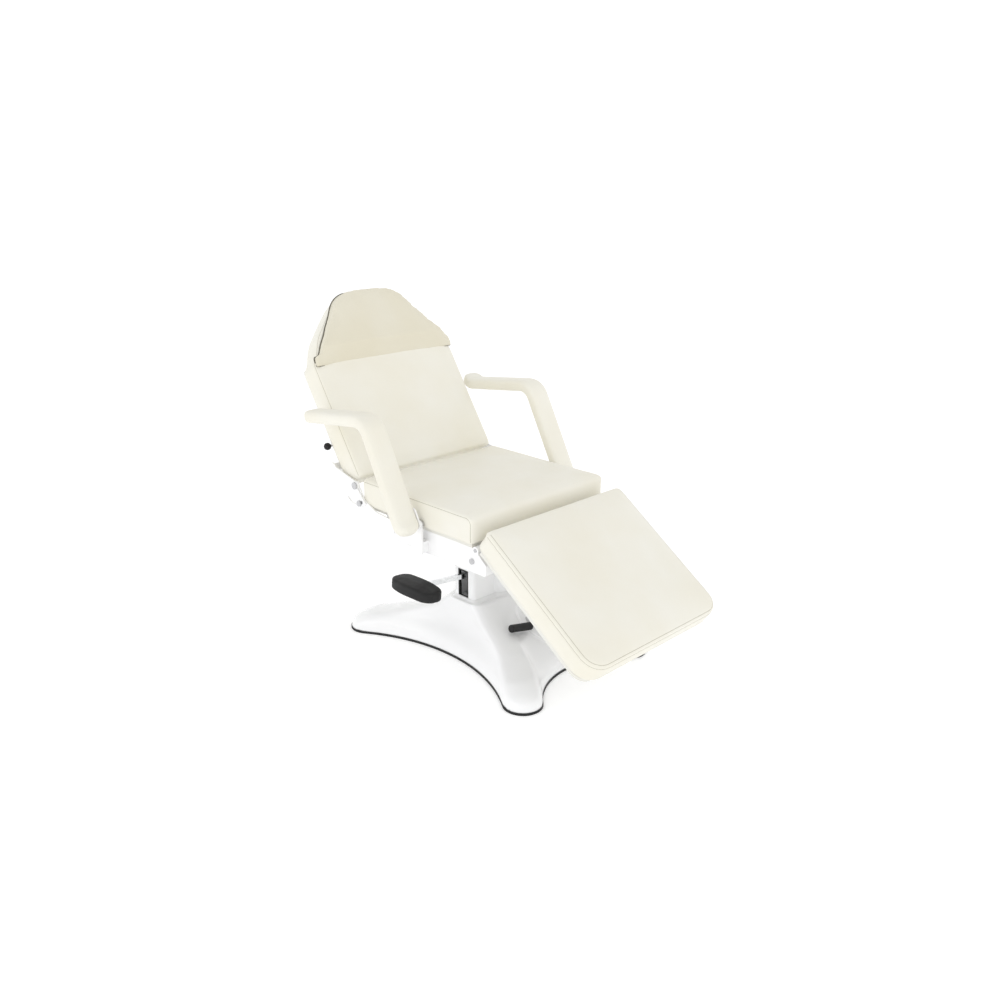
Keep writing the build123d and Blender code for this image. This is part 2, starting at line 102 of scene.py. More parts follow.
def cap_loop(node, direction):
    """Outline of a CAD node's flat face that looks along a direction, as ordered points."""
    mesh = nodes[node].data
    direction = Vector(direction).normalized()
    reach = max(v.co.dot(direction) for v in mesh.vertices)
    key = lambda i: tuple(round(c, 6) for c in mesh.vertices[i].co)
    count, ends = {}, {}
    for poly in mesh.polygons:
        if any(mesh.vertices[i].co.dot(direction) < reach - 2e-5 for i in poly.vertices):
            continue
        loop = [key(i) for i in poly.vertices]
        for a, b in zip(loop, loop[1:] + loop[:1]):
            if (b, a) in count:
                del count[(b, a)]
            else:
                count[(a, b)] = True
    for a, b in count:
        ends[a] = b
    best = []
    while ends:
        start = next(iter(ends))
        loop, here = [], start
        while here in ends:
            loop.append(Vector(here))
            here = ends.pop(here)
        if len(loop) > len(best):
            best = loop
    return best


def resample(points, step, closed=True):
    pts = list(points) + ([points[0]] if closed else [])
    lengths = [0.0]
    for a, b in zip(pts, pts[1:]):
        lengths.append(lengths[-1] + (b - a).length)
    count = max(8, round(lengths[-1] / step))
    out, k = [], 0
    for i in range(count + (0 if closed else 1)):
        at = lengths[-1] * i / count
        while k < len(lengths) - 2 and lengths[k + 1] < at:
            k += 1
        seg = lengths[k + 1] - lengths[k]
        out.append(pts[k].lerp(pts[k + 1], (at - lengths[k]) / seg if seg > 0 else 0))
    return out


def area2(loop):
    return sum(a.x * b.y - b.x * a.y for a, b in zip(loop, loop[1:] + loop[:1])) / 2


def round_corners(loop, passes):
    for _ in range(passes):
        n = len(loop)
        loop = [(loop[i - 1] + loop[i] * 2 + loop[(i + 1) % n]) / 4 for i in range(n)]
    return loop


def inset(loop, distance, step=None):
    """Loop moved inwards. Points that come too near the old loop are dropped."""
    if abs(distance) < 1e-6:
        return resample(loop, step)
    n = len(loop)
    sign = 1 if area2(loop) > 0 else -1
    out = []
    for i in range(n):
        t = (loop[(i + 1) % n] - loop[i - 1]).normalized()
        out.append(loop[i] + Vector((-t.y, t.x)) * distance * sign)
    tree = KDTree(n)
    for i, p in enumerate(loop):
        tree.insert((p.x, p.y, 0), i)
    tree.balance()
    keep = [p for p in out if tree.find((p.x, p.y, 0))[2] > abs(distance) * 0.985]
    return resample(keep, step) if step else keep


def tube(name, path, radius, closed=True, sides=8):
    """Round cord along a path."""
    n = len(path)
    verts, faces = [], []
    normal = None
    for i, p in enumerate(path):
        ahead = path[(i + 1) % n] if closed or i < n - 1 else p
        behind = path[i - 1] if closed or i > 0 else p
        tangent = (ahead - behind).normalized()
        if normal is None:
            normal = tangent.orthogonal().normalized()
        normal = (normal - tangent * normal.dot(tangent)).normalized()
        side = tangent.cross(normal)
        for k in range(sides):
            a = 2 * math.pi * k / sides
            verts.append(p + normal * math.cos(a) * radius + side * math.sin(a) * radius)
    rings = n if closed else n - 1
    shift = 0
    if closed:
        first, last = verts[0] - path[0], verts[(n - 1) * sides:]
        gaps = [(v - path[-1] - first).length for v in last]
        shift = gaps.index(min(gaps))
    for i in range(rings):
        a, b = i * sides, ((i + 1) % n) * sides
        off = shift if closed and i == n - 1 else 0
        for k in range(sides):
            faces.append((a + (k + off) % sides, a + (k + 1 + off) % sides,
                          b + (k + 1) % sides, b + k))
    if not closed:
        faces.append(tuple(range(sides))[::-1])
        faces.append(tuple(range((n - 1) * sides, n * sides)))
    return finish_normals(add_object(name, verts, faces))


def coords(mesh):
    return [v.co.copy() for v in mesh.vertices], [v.normal.copy() for v in mesh.vertices]


def set_coords(mesh, points):
    flat = [c for p in points for c in p]
    mesh.vertices.foreach_set("co", flat)
    mesh.update()


def smoothstep(a, b, x):
    t = min(1.0, max(0.0, (x - a) / (b - a)))
    return t * t * (3 - 2 * t)


# ------------------------------------------------------------------ materials
def new_material(name):
    mat = bpy.data.materials.new(name)
    mat.use_nodes = True
    tree = mat.node_tree
    bsdf = tree.nodes["Principled BSDF"]
    coord = tree.nodes.new("ShaderNodeTexCoord")
    return mat, tree, bsdf, coord.outputs["Object"]


def texture(tree, kind, coord, scale, **inputs):
    node = tree.nodes.new(kind)
    tree.links.new(coord, node.inputs["Vector"])
    node.inputs["Scale"].default_value = scale
    for key, value in inputs.items():
        node.inputs[key].default_value = value
    return node


def ramp(tree, source, stops):
    node = tree.nodes.new("ShaderNodeValToRGB")
    tree.links.new(source, node.inputs["Fac"])
    while len(node.color_ramp.elements) < len(stops):
        node.color_ramp.elements.new(0.5)
    for element, (pos, color) in zip(node.color_ramp.elements, stops):
        element.position = pos
        element.color = (*color, 1) if len(color) == 3 else (color[0],) * 3 + (1,)
    return node.outputs["Color"]


def bump(tree, height, strength, distance, normal=None):
    node = tree.nodes.new("ShaderNodeBump")
    node.inputs["Strength"].default_value = strength
    node.inputs["Distance"].default_value = distance
    tree.links.new(height, node.inputs["Height"])
    if normal:
        tree.links.new(normal, node.inputs["Normal"])
    return node.outputs["Normal"]


def tint(color, k):
    return tuple(min(1.0, c * k) for c in color)


def leather(name, color, rough=0.46):
    """Soft vinyl: pebbled grain, faint creases, slight tone change over the panel."""
    mat, tree, bsdf, coord = new_material(name)
    cloud = texture(tree, "ShaderNodeTexNoise", coord, 5.0, Detail=3.0, Roughness=0.5)
    warm = (color[0] * 1.01, color[1] * 0.995, color[2] * 0.955)
    base = ramp(tree, cloud.outputs["Fac"], [(0.3, tint(warm, 0.975)), (0.7, tint(color, 1.015))])
    grain = texture(tree, "ShaderNodeTexVoronoi", coord, 620.0, Randomness=1.0)
    grain.feature = "SMOOTH_F1"
    fine = texture(tree, "ShaderNodeTexNoise", coord, 1500.0, Detail=2.0)
    crease = texture(tree, "ShaderNodeTexNoise", coord, 42.0, Detail=4.0, Roughness=0.55,
                     Distortion=0.6)
    pores = tree.nodes.new("ShaderNodeMix")
    pores.data_type = "RGBA"
    pores.blend_type = "MULTIPLY"
    pores.inputs["Factor"].default_value = 1.0
    tree.links.new(base, pores.inputs[6])
    tree.links.new(ramp(tree, grain.outputs["Distance"], [(0.0, (1.0, 1.0, 1.0)),
                                                         (0.62, (1.0, 1.0, 1.0)),
                                                         (0.95, (0.93, 0.92, 0.9))]),
                   pores.inputs[7])
    tree.links.new(pores.outputs[2], bsdf.inputs["Base Color"])
    n1 = bump(tree, crease.outputs["Fac"], 0.10, 0.0022)
    n2 = bump(tree, grain.outputs["Distance"], 0.16, 0.00022, n1)
    n3 = bump(tree, fine.outputs["Fac"], 0.10, 0.0001, n2)
    tree.links.new(n3, bsdf.inputs["Normal"])
    tree.links.new(ramp(tree, crease.outputs["Fac"], [(0.25, (rough - 0.05,)),
                                                     (0.75, (rough + 0.09,))]),
                   bsdf.inputs["Roughness"])
    bsdf.inputs["Specular IOR Level"].default_value = 0.42
    bsdf.inputs["Sheen Weight"].default_value = 0.06
    bsdf.inputs["Sheen Roughness"].default_value = 0.4
    bsdf.inputs["Subsurface Weight"].default_value = 0.0
    return mat


def enamel(name, color, rough, orange_peel, coat=0.0):
    """Sprayed paint: faint orange peel, a few dust specks, slight tone change."""
    mat, tree, bsdf, coord = new_material(name)
    cloud = texture(tree, "ShaderNodeTexNoise", coord, 3.5, Detail=3.0)
    tree.links.new(ramp(tree, cloud.outputs["Fac"], [(0.3, tint(color, 0.975)),
                                                    (0.7, tint(color, 1.01))]),
                   bsdf.inputs["Base Color"])
    peel = texture(tree, "ShaderNodeTexNoise", coord, 240.0, Detail=2.0)
    dust = texture(tree, "ShaderNodeTexVoronoi", coord, 45.0, Randomness=1.0)
    spots = ramp(tree, dust.outputs["Distance"], [(0.0, (1.0,)), (0.035, (0.0,))])
    n1 = bump(tree, peel.outputs["Fac"], orange_peel, 0.0003)
    n2 = bump(tree, spots, 0.06, 0.0002, n1)
    tree.links.new(n2, bsdf.inputs["Normal"])
    wear = texture(tree, "ShaderNodeTexNoise", coord, 14.0, Detail=4.0)
    tree.links.new(ramp(tree, wear.outputs["Fac"], [(0.3, (rough,)), (0.75, (rough + 0.09,))]),
                   bsdf.inputs["Roughness"])
    bsdf.inputs["Coat Weight"].default_value = coat
    bsdf.inputs["Coat Roughness"].default_value = 0.08
    return mat


def metal(name, color, rough, scale, streak=(1, 1, 1), strength=0.12):
    """Bare metal with fine directional marks and uneven polish."""
    mat, tree, bsdf, coord = new_material(name)
    mapping = tree.nodes.new("ShaderNodeMapping")
    mapping.inputs["Scale"].default_value = streak
    tree.links.new(coord, mapping.inputs["Vector"])
    marks = texture(tree, "ShaderNodeTexNoise", mapping.outputs["Vector"], scale, Detail=5.0)
    tree.links.new(ramp(tree, marks.outputs["Fac"], [(0.3, tint(color, 0.86)),
                                                    (0.7, tint(color, 1.08))]),
                   bsdf.inputs["Base Color"])
    tree.links.new(ramp(tree, marks.outputs["Fac"], [(0.3, (rough * 0.8,)),
                                                    (0.75, (rough * 1.5,))]),
                   bsdf.inputs["Roughness"])
    tree.links.new(bump(tree, marks.outputs["Fac"], strength, 0.0002), bsdf.inputs["Normal"])
    bsdf.inputs["Metallic"].default_value = 1.0
    return mat


def moulded(name, color, rough, scale, strength):
    """Moulded rubber or plastic: fine spark texture, scuffs that dull it in places."""
    mat, tree, bsdf, coord = new_material(name)
    scuff = texture(tree, "ShaderNodeTexNoise", coord, 22.0, Detail=5.0, Roughness=0.65)
    tree.links.new(ramp(tree, scuff.outputs["Fac"], [(0.35, color), (0.8, tint(color, 1.8))]),
                   bsdf.inputs["Base Color"])
    tree.links.new(ramp(tree, scuff.outputs["Fac"], [(0.3, (rough,)), (0.8, (rough + 0.2,))]),
                   bsdf.inputs["Roughness"])
    spark = texture(tree, "ShaderNodeTexVoronoi", coord, scale, Randomness=1.0)
    tree.links.new(bump(tree, spark.outputs["Distance"], strength, 0.0002),
                   bsdf.inputs["Normal"])
    return mat


CREAM = (0.83, 0.812, 0.735)
mats = {
    "upholstery": leather("upholstery", CREAM),
    # Darker than the other cushions' cream: partly painted shade, partly the pillow's own yellower tone.
    "head_upholstery": leather("head_upholstery", (0.735, 0.70, 0.585)),
    "thread": leather("thread", (0.50, 0.48, 0.40), 0.7),
    # Near-black cream cloth: painted shade for the dark line in the gap between head pillow and backrest, and in
    # the pillow's foot crease.
    "painted_gap_shade": leather("painted_gap_shade", (0.16, 0.15, 0.12), 0.8),
    "white_enamel": enamel("white_enamel", (0.93, 0.932, 0.938), 0.16, 0.05, 0.6),
    "white_frame": enamel("white_frame", (0.95, 0.95, 0.952), 0.30, 0.14),
    "black_rubber": moulded("black_rubber", (0.006, 0.006, 0.006), 0.6, 900.0, 0.25),
    "black_plastic": moulded("black_plastic", (0.0012, 0.0012, 0.0014), 0.55, 700.0, 0.18),
    "chrome_steel": metal("chrome_steel", (0.78, 0.79, 0.80), 0.10, 90.0, (1, 1, 1), 0.03),
    "bare_steel": metal("bare_steel", (0.60, 0.60, 0.61), 0.30, 60.0, (1, 6, 6), 0.14),
    "plate_steel": moulded("plate_steel", (0.02, 0.02, 0.022), 0.5, 300.0, 0.3),
    "board_cover": leather("board_cover", (0.78, 0.775, 0.74), 0.7),
}


def dress(obj, body, slot, material=None):
    obj.data.materials.clear()
    obj.data.materials.append(mats[material or slot])
    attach(obj, body)
    return obj


slot_of = {s["node"]: s["material_slot"] for s in frame["record"]["subparts"]}
for node, obj in nodes.items():
    obj.data.materials.clear()
    obj.data.materials.append(mats[slot_of[node]])
    if slot_of[node] in ("white_frame", "bare_steel", "chrome_steel", "black_rubber"):
        edge = obj.modifiers.new("worn_edges", "BEVEL")
        edge.width = 0.0008
        edge.segments = 2
        edge.limit_method = "ANGLE"
        edge.angle_limit = math.radians(40)
        edge.harden_normals = False


# ------------------------------------------------------------------ upholstery
def section_frame(node, along, out):
    """Local axes of a cushion: across, along, out of its face, with its own origin."""
    along, out = Vector(along).normalized(), Vector(out).normalized()
    across = along.cross(out)
    verts = [v.co for v in nodes[node].data.vertices]
    mid = sum((v.dot(across) for v in (min(verts, key=lambda v: v.dot(across)),
                                       max(verts, key=lambda v: v.dot(across)))), 0) / 2
    origin = (across * mid + along * min(v.dot(along) for v in verts)
              + out * max(v.dot(out) for v in verts))
    depth = (max(v.dot(out) for v in verts) - min(v.dot(out) for v in verts))
    matrix = Matrix((across, along, out)).transposed().to_4x4()
    matrix.translation = origin
    return matrix, depth


def prism(name, loop, low, high, r_low, r_high, pull=0.0):
    """Closed form with rounded rims; its sides pull in by a little at half height."""
    rings = []
    steps = 5
    for i in range(steps + 1):
        a = math.pi / 2 * i / steps
        rings.append((r_low * (1 - math.sin(a)), low + r_low * (1 - math.cos(a))))
    for i in range(1, 6):
        f = i / 6
        z = low + r_low + (high - r_high - low - r_low) * f
        rings.append((pull * math.sin(math.pi * f), z))
    for i in range(steps + 1):
        a = math.pi / 2 * i / steps
        rings.append((r_high * (1 - math.cos(a)), high - r_high + r_high * math.sin(a)))
    n = len(loop)
    sign = 1 if area2(loop) > 0 else -1
    side = []
    for i in range(n):
        t = (loop[(i + 2) % n] - loop[i - 2]).normalized()
        side.append(Vector((-t.y, t.x)) * sign)
    verts, faces = [], []
    for d, z in rings:
        verts += [(p.x + s.x * d, p.y + s.y * d, z) for p, s in zip(loop, side)]
    for k in range(len(rings) - 1):
        for i in range(n):
            j = (i + 1) % n
            faces.append((k * n + i, k * n + j, (k + 1) * n + j, (k + 1) * n + i))
    faces.append(tuple(range(n))[::-1])
    faces.append(tuple(range((len(rings) - 1) * n, len(rings) * n)))
    return finish_normals(add_object(name, verts, faces))


def remesh(obj, voxel):
    mod = obj.modifiers.new("remesh", "REMESH")
    mod.mode = "VOXEL"
    mod.voxel_size = voxel
    return apply_modifiers(obj)


def inflate(obj, held, cap, pressure=4.0):
    """Cloth under pressure. held(co) is 1 where the cover is sewn or rests on its board."""
    start, normals = coords(obj.data)
    weights = [held(co) for co in start]
    group = obj.vertex_groups.new(name="held")
    for i, w in enumerate(weights):
        group.add([i], w, "REPLACE")
    cloth = obj.modifiers.new("cloth", "CLOTH")
    s = cloth.settings
    s.quality = 4
    s.mass = 0.35
    s.tension_stiffness = 18
    s.compression_stiffness = 18
    s.shear_stiffness = 6
    s.bending_stiffness = 1.2
    s.use_pressure = True
    s.uniform_pressure_force = pressure
    s.vertex_group_mass = "held"
    s.pin_stiffness = 1.0
    s.effector_weights.gravity = 0
    cloth.collision_settings.use_collision = False
    cloth.point_cache.frame_start = 1
    cloth.point_cache.frame_end = 20
    scene = bpy.context.scene
    for f in range(1, 21):
        scene.frame_set(f)
    apply_modifiers(obj)
    scene.frame_set(1)
    obj.vertex_groups.clear()
    moved = []
    for v, a, w in zip(obj.data.vertices, start, weights):
        move = v.co - a
        limit = cap * (1 - w)
        moved.append(a + move.normalized() * limit if move.length > limit else v.co.copy())
    set_coords(obj.data, moved)
    return obj


def relax(obj, rounds, factor=0.5):
    mod = obj.modifiers.new("relax", "SMOOTH")
    mod.factor = factor
    mod.iterations = rounds
    return apply_modifiers(obj)


def subdivide(obj):
    mod = obj.modifiers.new("subdivide", "SUBSURF")
    mod.levels = 1
    mod.render_levels = 1
    return apply_modifiers(obj)


def groove(obj, path, depth, width):
    tree = KDTree(len(path))
    for i, p in enumerate(path):
        tree.insert(p, i)
    tree.balance()
    points, normals = coords(obj.data)
    for i, (p, n) in enumerate(zip(points, normals)):
        gap = tree.find(p)[2]
        if gap < width * 3:
            points[i] = p - n * depth * math.exp(-(gap / width) ** 2)
    set_coords(obj.data, points)


def dress_local(obj, matrix, body, slot, material):
    obj.data.transform(matrix)
    obj.data.update()
    return dress(obj, body, slot, material)


def edge_tree(loop):
    tree = KDTree(len(loop))
    for i, p in enumerate(loop):
        tree.insert((p.x, p.y, 0), i)
    tree.balance()
    return tree


def roll_edge(points, end, radius):
    """Rounds the top edge at the far end of a cushion, like a waterfall front."""
    cy, cz = end - radius, -radius
    out = []
    for p in points:
        dy, dz = p.y - cy, p.z - cz
        reach = math.hypot(dy, dz)
        if dy > 0 and dz > 0 and reach > radius:
            p = Vector((p.x, cy + dy * radius / reach, cz + dz * radius / reach))
        out.append(p)
    return out


def cushion(name, node, along, out, rim, low_rim, crown, cap, roll=0.0, grow=0.0015,
            voxel=0.0085):
    """Sewn block over the CAD cushion, in local axes: x across, y along, z out of its face."""
    matrix, depth = section_frame(node, along, out)
    inverse = matrix.inverted()
    flat = [inverse @ p for p in cap_loop(node, out)]
    loop = resample([Vector((p.x, p.y)) for p in flat], 0.006)
    loop = inset(round_corners(loop, 3), -grow, 0.006)
    tree = edge_tree(loop)
    obj = prism(name, loop, -depth, 0.0, low_rim, rim, 0.002)
    remesh(obj, voxel)
    relax(obj, 2)

    def held(co):
        d = tree.find((co.x, co.y, 0))[2]
        bottom = 1.0 - smoothstep(-depth + 0.004, -depth + 0.018, co.z)
        seam = math.exp(-(math.hypot(d - rim * 0.3, co.z + rim * 0.3) / 0.009) ** 2)
        return max(bottom, 0.85 * seam)

    inflate(obj, held, cap)
    end = max(p.y for p in loop)
    points, _ = coords(obj.data)
    for p in points:
        if p.z > -depth * 0.4:
            d = tree.find((p.x, p.y, 0))[2]
            p.z += crown * (1 - math.exp(-d / 0.07))
            p.z += 0.0010 * noise.noise(Vector((p.x * 1.0, p.y * 1.0, 0)) * 8.0)
    if roll:
        points = roll_edge(points, end, roll)
    set_coords(obj.data, points)
    relax(obj, 2, 0.4)
    subdivide(obj)
    return obj, matrix, loop, depth


BACK = math.radians(-joints["back_recline"]["range_deg"][0])
LEG = math.radians(joints["leg_tilt"]["range_deg"][1])
back_along = Vector((0, math.cos(BACK), math.sin(BACK)))
back_out = Vector((0, -math.sin(BACK), math.cos(BACK)))
leg_along = Vector((0, -math.cos(LEG), -math.sin(LEG)))
leg_out = Vector((0, -math.sin(LEG), math.cos(LEG)))


THREAD_RADIUS = 0.0009


def nearest_path(obj, points, reach=0.04):
    """Moves points onto the surface; returns them with the surface normals."""
    tree = BVHTree.FromObject(obj, bpy.context.evaluated_depsgraph_get())
    found = [tree.find_nearest(p, reach) for p in points]
    found = [f for f in found if f[0] is not None]
    return [f[0] for f in found], [f[1] for f in found]


def seam(obj, name, path, matrix, body, depth=0.0014, width=0.0030):
    """Sunk seam line on a cover, with its thread in the groove."""
    points, _ = nearest_path(obj, path)
    groove(obj, points, depth, width)
    points, normals = nearest_path(obj, points)
    line = [p - n * 0.0003 for p, n in zip(points, normals)]
    dress_local(tube(name, line, THREAD_RADIUS, False, 6), matrix, body, "upholstery", "thread")


def edge_paths(loop, keep, shifts):
    """Paths beside a cushion's top edge: (distance inside the edge, height below the face)."""
    paths = []
    for inside, below in shifts:
        ring = inset(loop, inside, 0.005) if inside > 0 else resample(loop, 0.005)
        ring = [p for p in ring if keep(p)]
        start = max(range(len(ring)), key=lambda i: (ring[i] - ring[i - 1]).length)
        ring = ring[start:] + ring[:start]
        paths.append([Vector((p.x, p.y, -below)) for p in ring])
    return paths


# seat: boxed block with a rolled front edge and a seam round each side panel
seat, m_seat, loop, depth = cushion("seat_pad", "seat_cushion", (0, -1, 0), (0, 0, 1),
                                    0.010, 0.006, 0.004, 0.008, roll=0.026)
front = max(p.y for p in loop)
half = max(p.x for p in loop)
SEAM_STEP = 0.006
for k, sign in enumerate((-1, 1)):
    path = [Vector((sign * half, y * SEAM_STEP, -0.006))
            for y in range(2, int((front - 0.026) / SEAM_STEP))]
    for a in range(0, 91, 9):
        a = math.radians(a)
        path.append(Vector((sign * half, front - 0.030 + 0.025 * math.sin(a),
                            -0.030 + 0.025 * math.cos(a))))
    path += [Vector((sign * half, front - 0.005, -z * 0.005)) for z in range(7, int(depth / 0.005))]
    seam(seat, f"seat_seam_{k}", path, m_seat, "seat_frame")
dress_local(seat, m_seat, "seat_frame", "upholstery", "upholstery")
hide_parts("seat_cushion")

# leg rest: twin seam along both long edges and round the foot corners
leg, m_leg, loop, depth = cushion("leg_pad", "leg_cushion", leg_along, leg_out,
                                  0.009, 0.026, 0.005, 0.009)
for k, path in enumerate(edge_paths(loop, lambda p: p.y > 0.012,
                                    ((0.008, 0.0), (0.0, 0.012)))):
    seam(leg, f"leg_seam_{k}", path, m_leg, "leg_rest")
dress_local(leg, m_leg, "leg_rest", "upholstery", "upholstery")
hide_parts("leg_cushion")

# backrest: seam on the front edge
back, m_back, loop, depth = cushion("back_pad", "back_cushion", back_along, back_out,
                                    0.008, 0.014, 0.003, 0.006, grow=0.0)
for k, path in enumerate(edge_paths(loop, lambda p: p.y > 0.010, ((0.0, 0.006),))):
    seam(back, f"back_seam_{k}", path, m_back, "backrest")
dress_local(back, m_back, "backrest", "upholstery", "upholstery")
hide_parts("back_cushion")


# ------------------------------------------------------------------ head pillow
def from_cad(name, node, matrix, voxel, shrink):
    """Remeshed copy of a soft CAD solid, in local axes, drawn in so that it can swell."""
    copy = bpy.data.objects.new(name, nodes[node].data.copy())
    bpy.context.scene.collection.objects.link(copy)
    copy.data.transform(matrix.inverted())
    remesh(copy, voxel)
    points, normals = coords(copy.data)
    set_coords(copy.data, [p - n * shrink for p, n in zip(points, normals)])
    return copy


m_head, head_depth = section_frame("head_pillow", back_along, back_out)
pillow = from_cad("head_pad", "head_pillow", m_head, 0.0055, 0.002)
relax(pillow, 3)
pillow_floor = -head_depth
inflate(pillow, lambda co: 1.0 - smoothstep(pillow_floor + 0.003, pillow_floor + 0.010, co.z),
        0.005)
relax(pillow, 2, 0.4)
points, _ = coords(pillow.data)
set_coords(pillow.data, [Vector((p.x, p.y, max(p.z, pillow_floor + 0.0022))) for p in points])
subdivide(pillow)
flat = [m_head.inverted() @ p for p in cap_loop("head_pillow", -back_out)]
loop = resample([Vector((p.x, p.y)) for p in flat], 0.004)
foot_edge = min(p.y for p in loop)
# Dark cords just inside the pillow's outline at both sides and along its foot: painted shade standing in for the
# shadow in the gap against the backrest and in the foot crease.
shade_line_ring = inset(loop, 0.0015, 0.004)
for k, (keep, radius) in enumerate(((lambda p: p.x < -0.02 and p.y > foot_edge + 0.012, 0.0024),
                                    (lambda p: p.x > 0.02 and p.y > foot_edge + 0.012, 0.0024),
                                    (lambda p: p.y < foot_edge + 0.008, 0.0009))):
    part = [p for p in shade_line_ring if keep(p)]
    start = max(range(len(part)), key=lambda i: (part[i] - part[i - 1]).length)
    part = part[start:] + part[:start]
    line = [Vector((p.x, p.y, pillow_floor + 0.0026)) for p in part]
    dress_local(tube(f"pillow_gap_{k}", line, radius, False, 6), m_head, "backrest",
                "head_upholstery", "painted_gap_shade")
dress_local(pillow, m_head, "backrest", "head_upholstery", "head_upholstery")
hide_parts("head_pillow")


# ------------------------------------------------------------------ armrests
def arm_spine(loop):
    """Middle line of the arm's side outline, foot to rear end, and half its thickness."""
    foot = min(range(len(loop)), key=lambda i: loop[i].y)
    tip = max(range(len(loop)), key=lambda i: (loop[i] - loop[foot]).length)
    ring = loop[foot:] + loop[:foot]
    cut = (tip - foot) % len(loop)
    one, other = ring[:cut + 1], ring[cut:] + ring[:1]
    outer = max((one, other), key=lambda c: sum((b - a).length for a, b in zip(c, c[1:])))
    inner = other if outer is one else one
    tree = edge_tree(inner)
    mids = []
    for p in outer:
        q, _, gap = tree.find((p.x, p.y, 0))
        mids.append(((p + Vector(q.xy)) / 2, gap / 2))
    half = sorted(g for _, g in mids)[len(mids) // 2]
    line = [m for m, g in mids if g > half * 0.93]
    if line[0].y > line[-1].y:
        line.reverse()
    return line, half


def swept_pad(name, line, half_thick, width, z_mid):
    """Soft bar along a spine in the local plane: rounded section, rounded foot and nose."""
    spine = round_ends(resample(line, 0.006, closed=False), half_thick)
    lengths = [0.0]
    for a, b in zip(spine, spine[1:]):
        lengths.append(lengths[-1] + (b - a).length)
    total = lengths[-1]
    verts, faces = [], []
    count = 40
    for i, p in enumerate(spine):
        ahead, behind = spine[min(i + 1, len(spine) - 1)], spine[max(i - 1, 0)]
        t = (ahead - behind).normalized()
        side = Vector((-t.y, t.x))
        foot = min(1.0, lengths[i] / 0.034)
        nose = min(1.0, (total - lengths[i]) / 0.045)
        wide = (1 - (1 - foot) ** 2.2) ** 0.5 * (1 - (1 - nose) ** 2.4) ** 0.5
        thick = (1 - (1 - foot) ** 2.6) ** 0.5 * (1 - (1 - min(1, nose * 1.5)) ** 2.0) ** 0.5
        a, b = max(wide, 0.03) * width / 2, max(thick, 0.03) * half_thick
        for k in range(count):
            u = 2 * math.pi * k / count
            c, s = math.cos(u), math.sin(u)
            x = a * math.copysign(abs(c) ** 0.5, c)
            y = b * math.copysign(abs(s) ** 0.55, s)
            q = p + side * y
            verts.append((q.x, q.y, z_mid + x))
    for i in range(len(spine) - 1):
        for k in range(count):
            j = (k + 1) % count
            faces.append((i * count + k, i * count + j, (i + 1) * count + j, (i + 1) * count + k))
    faces.append(tuple(range(count))[::-1])
    faces.append(tuple(range((len(spine) - 1) * count, len(spine) * count)))
    return finish_normals(add_object(name, verts, faces))


def round_ends(spine, reach):
    """Extends a spine straight on at both ends, with closer points there."""
    first = (spine[0] - spine[3]).normalized()
    last = (spine[-1] - spine[-4]).normalized()
    steps = (0.1, 0.25, 0.45, 0.65, 0.8, 0.9, 0.96, 1.0)
    return ([spine[0] + first * reach * s for s in reversed(steps)] + list(spine)
            + [spine[-1] + last * reach * s for s in steps])


for side, sign in (("left", 1), ("right", -1)):
    node = "armrest_" + side
    m_arm, width = section_frame(node, (0, 0, 1), (sign, 0, 0))
    inverse = m_arm.inverted()
    flat = [inverse @ p for p in cap_loop(node, (sign, 0, 0))]
    line, half = arm_spine(resample([Vector((p.x, p.y)) for p in flat], 0.004))
    arm = swept_pad(f"arm_pad_{side}", line, half, width, -width / 2)
    remesh(arm, 0.005)
    relax(arm, 2)
    inflate(arm, lambda co: 0.5, 0.002, 2.0)
    subdivide(arm)
    dress_local(arm, m_arm, "arm_" + side, "upholstery", "upholstery")
    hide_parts(node)


# ------------------------------------------------------------------ base cover
def shell_ring(tree, z, angles, reach=0.75):
    """Outer wall of a star-shaped cover at one height, by rays towards the axis."""
    ring = []
    for a in angles:
        d = Vector((math.cos(a), math.sin(a), 0))
        hit, _, _, _ = tree.ray_cast(d * reach + Vector((0, 0, z)), -d)
        ring.append(Vector((hit.x, hit.y, z)) if hit is not None else ring[-1].copy())
    return ring


def pressed_cover():
    """Open pressed shell: the CAD cover's wall with its level lines faired away, and its top."""
    shell = BVHTree.FromObject(nodes["base_shell"], bpy.context.evaluated_depsgraph_get())
    low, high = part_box("base_shell")
    count = 288
    angles = [2 * math.pi * i / count for i in range(count)]
    heights = [low[2] + 0.0003 + (high[2] - low[2] - 0.0006) * (i / 44) for i in range(45)]
    rows = [shell_ring(shell, z, angles) for z in heights]
    radii = [[p.xy.length for p in row] for row in rows]
    for _ in range(10):
        fresh = [radii[0]]
        for k in range(1, len(radii) - 1):
            fresh.append([0.25 * a + 0.5 * b + 0.25 * c
                          for a, b, c in zip(radii[k - 1], radii[k], radii[k + 1])])
        radii = fresh + [radii[-1]]
    verts, faces = [], []
    for row, z in zip(radii, heights):
        verts += [Vector((math.cos(a) * r, math.sin(a) * r, z)) for a, r in zip(angles, row)]
    crown = verts[-count:]
    for part in (0.9, 0.75, 0.6):
        verts += [Vector((p.x * part, p.y * part, high.z)) for p in crown]
    for k in range(len(verts) // count - 1):
        for i in range(count):
            j = (i + 1) % count
            faces.append((k * count + i, k * count + j, (k + 1) * count + j, (k + 1) * count + i))
    return finish_normals(add_object("base_cover", verts, faces))


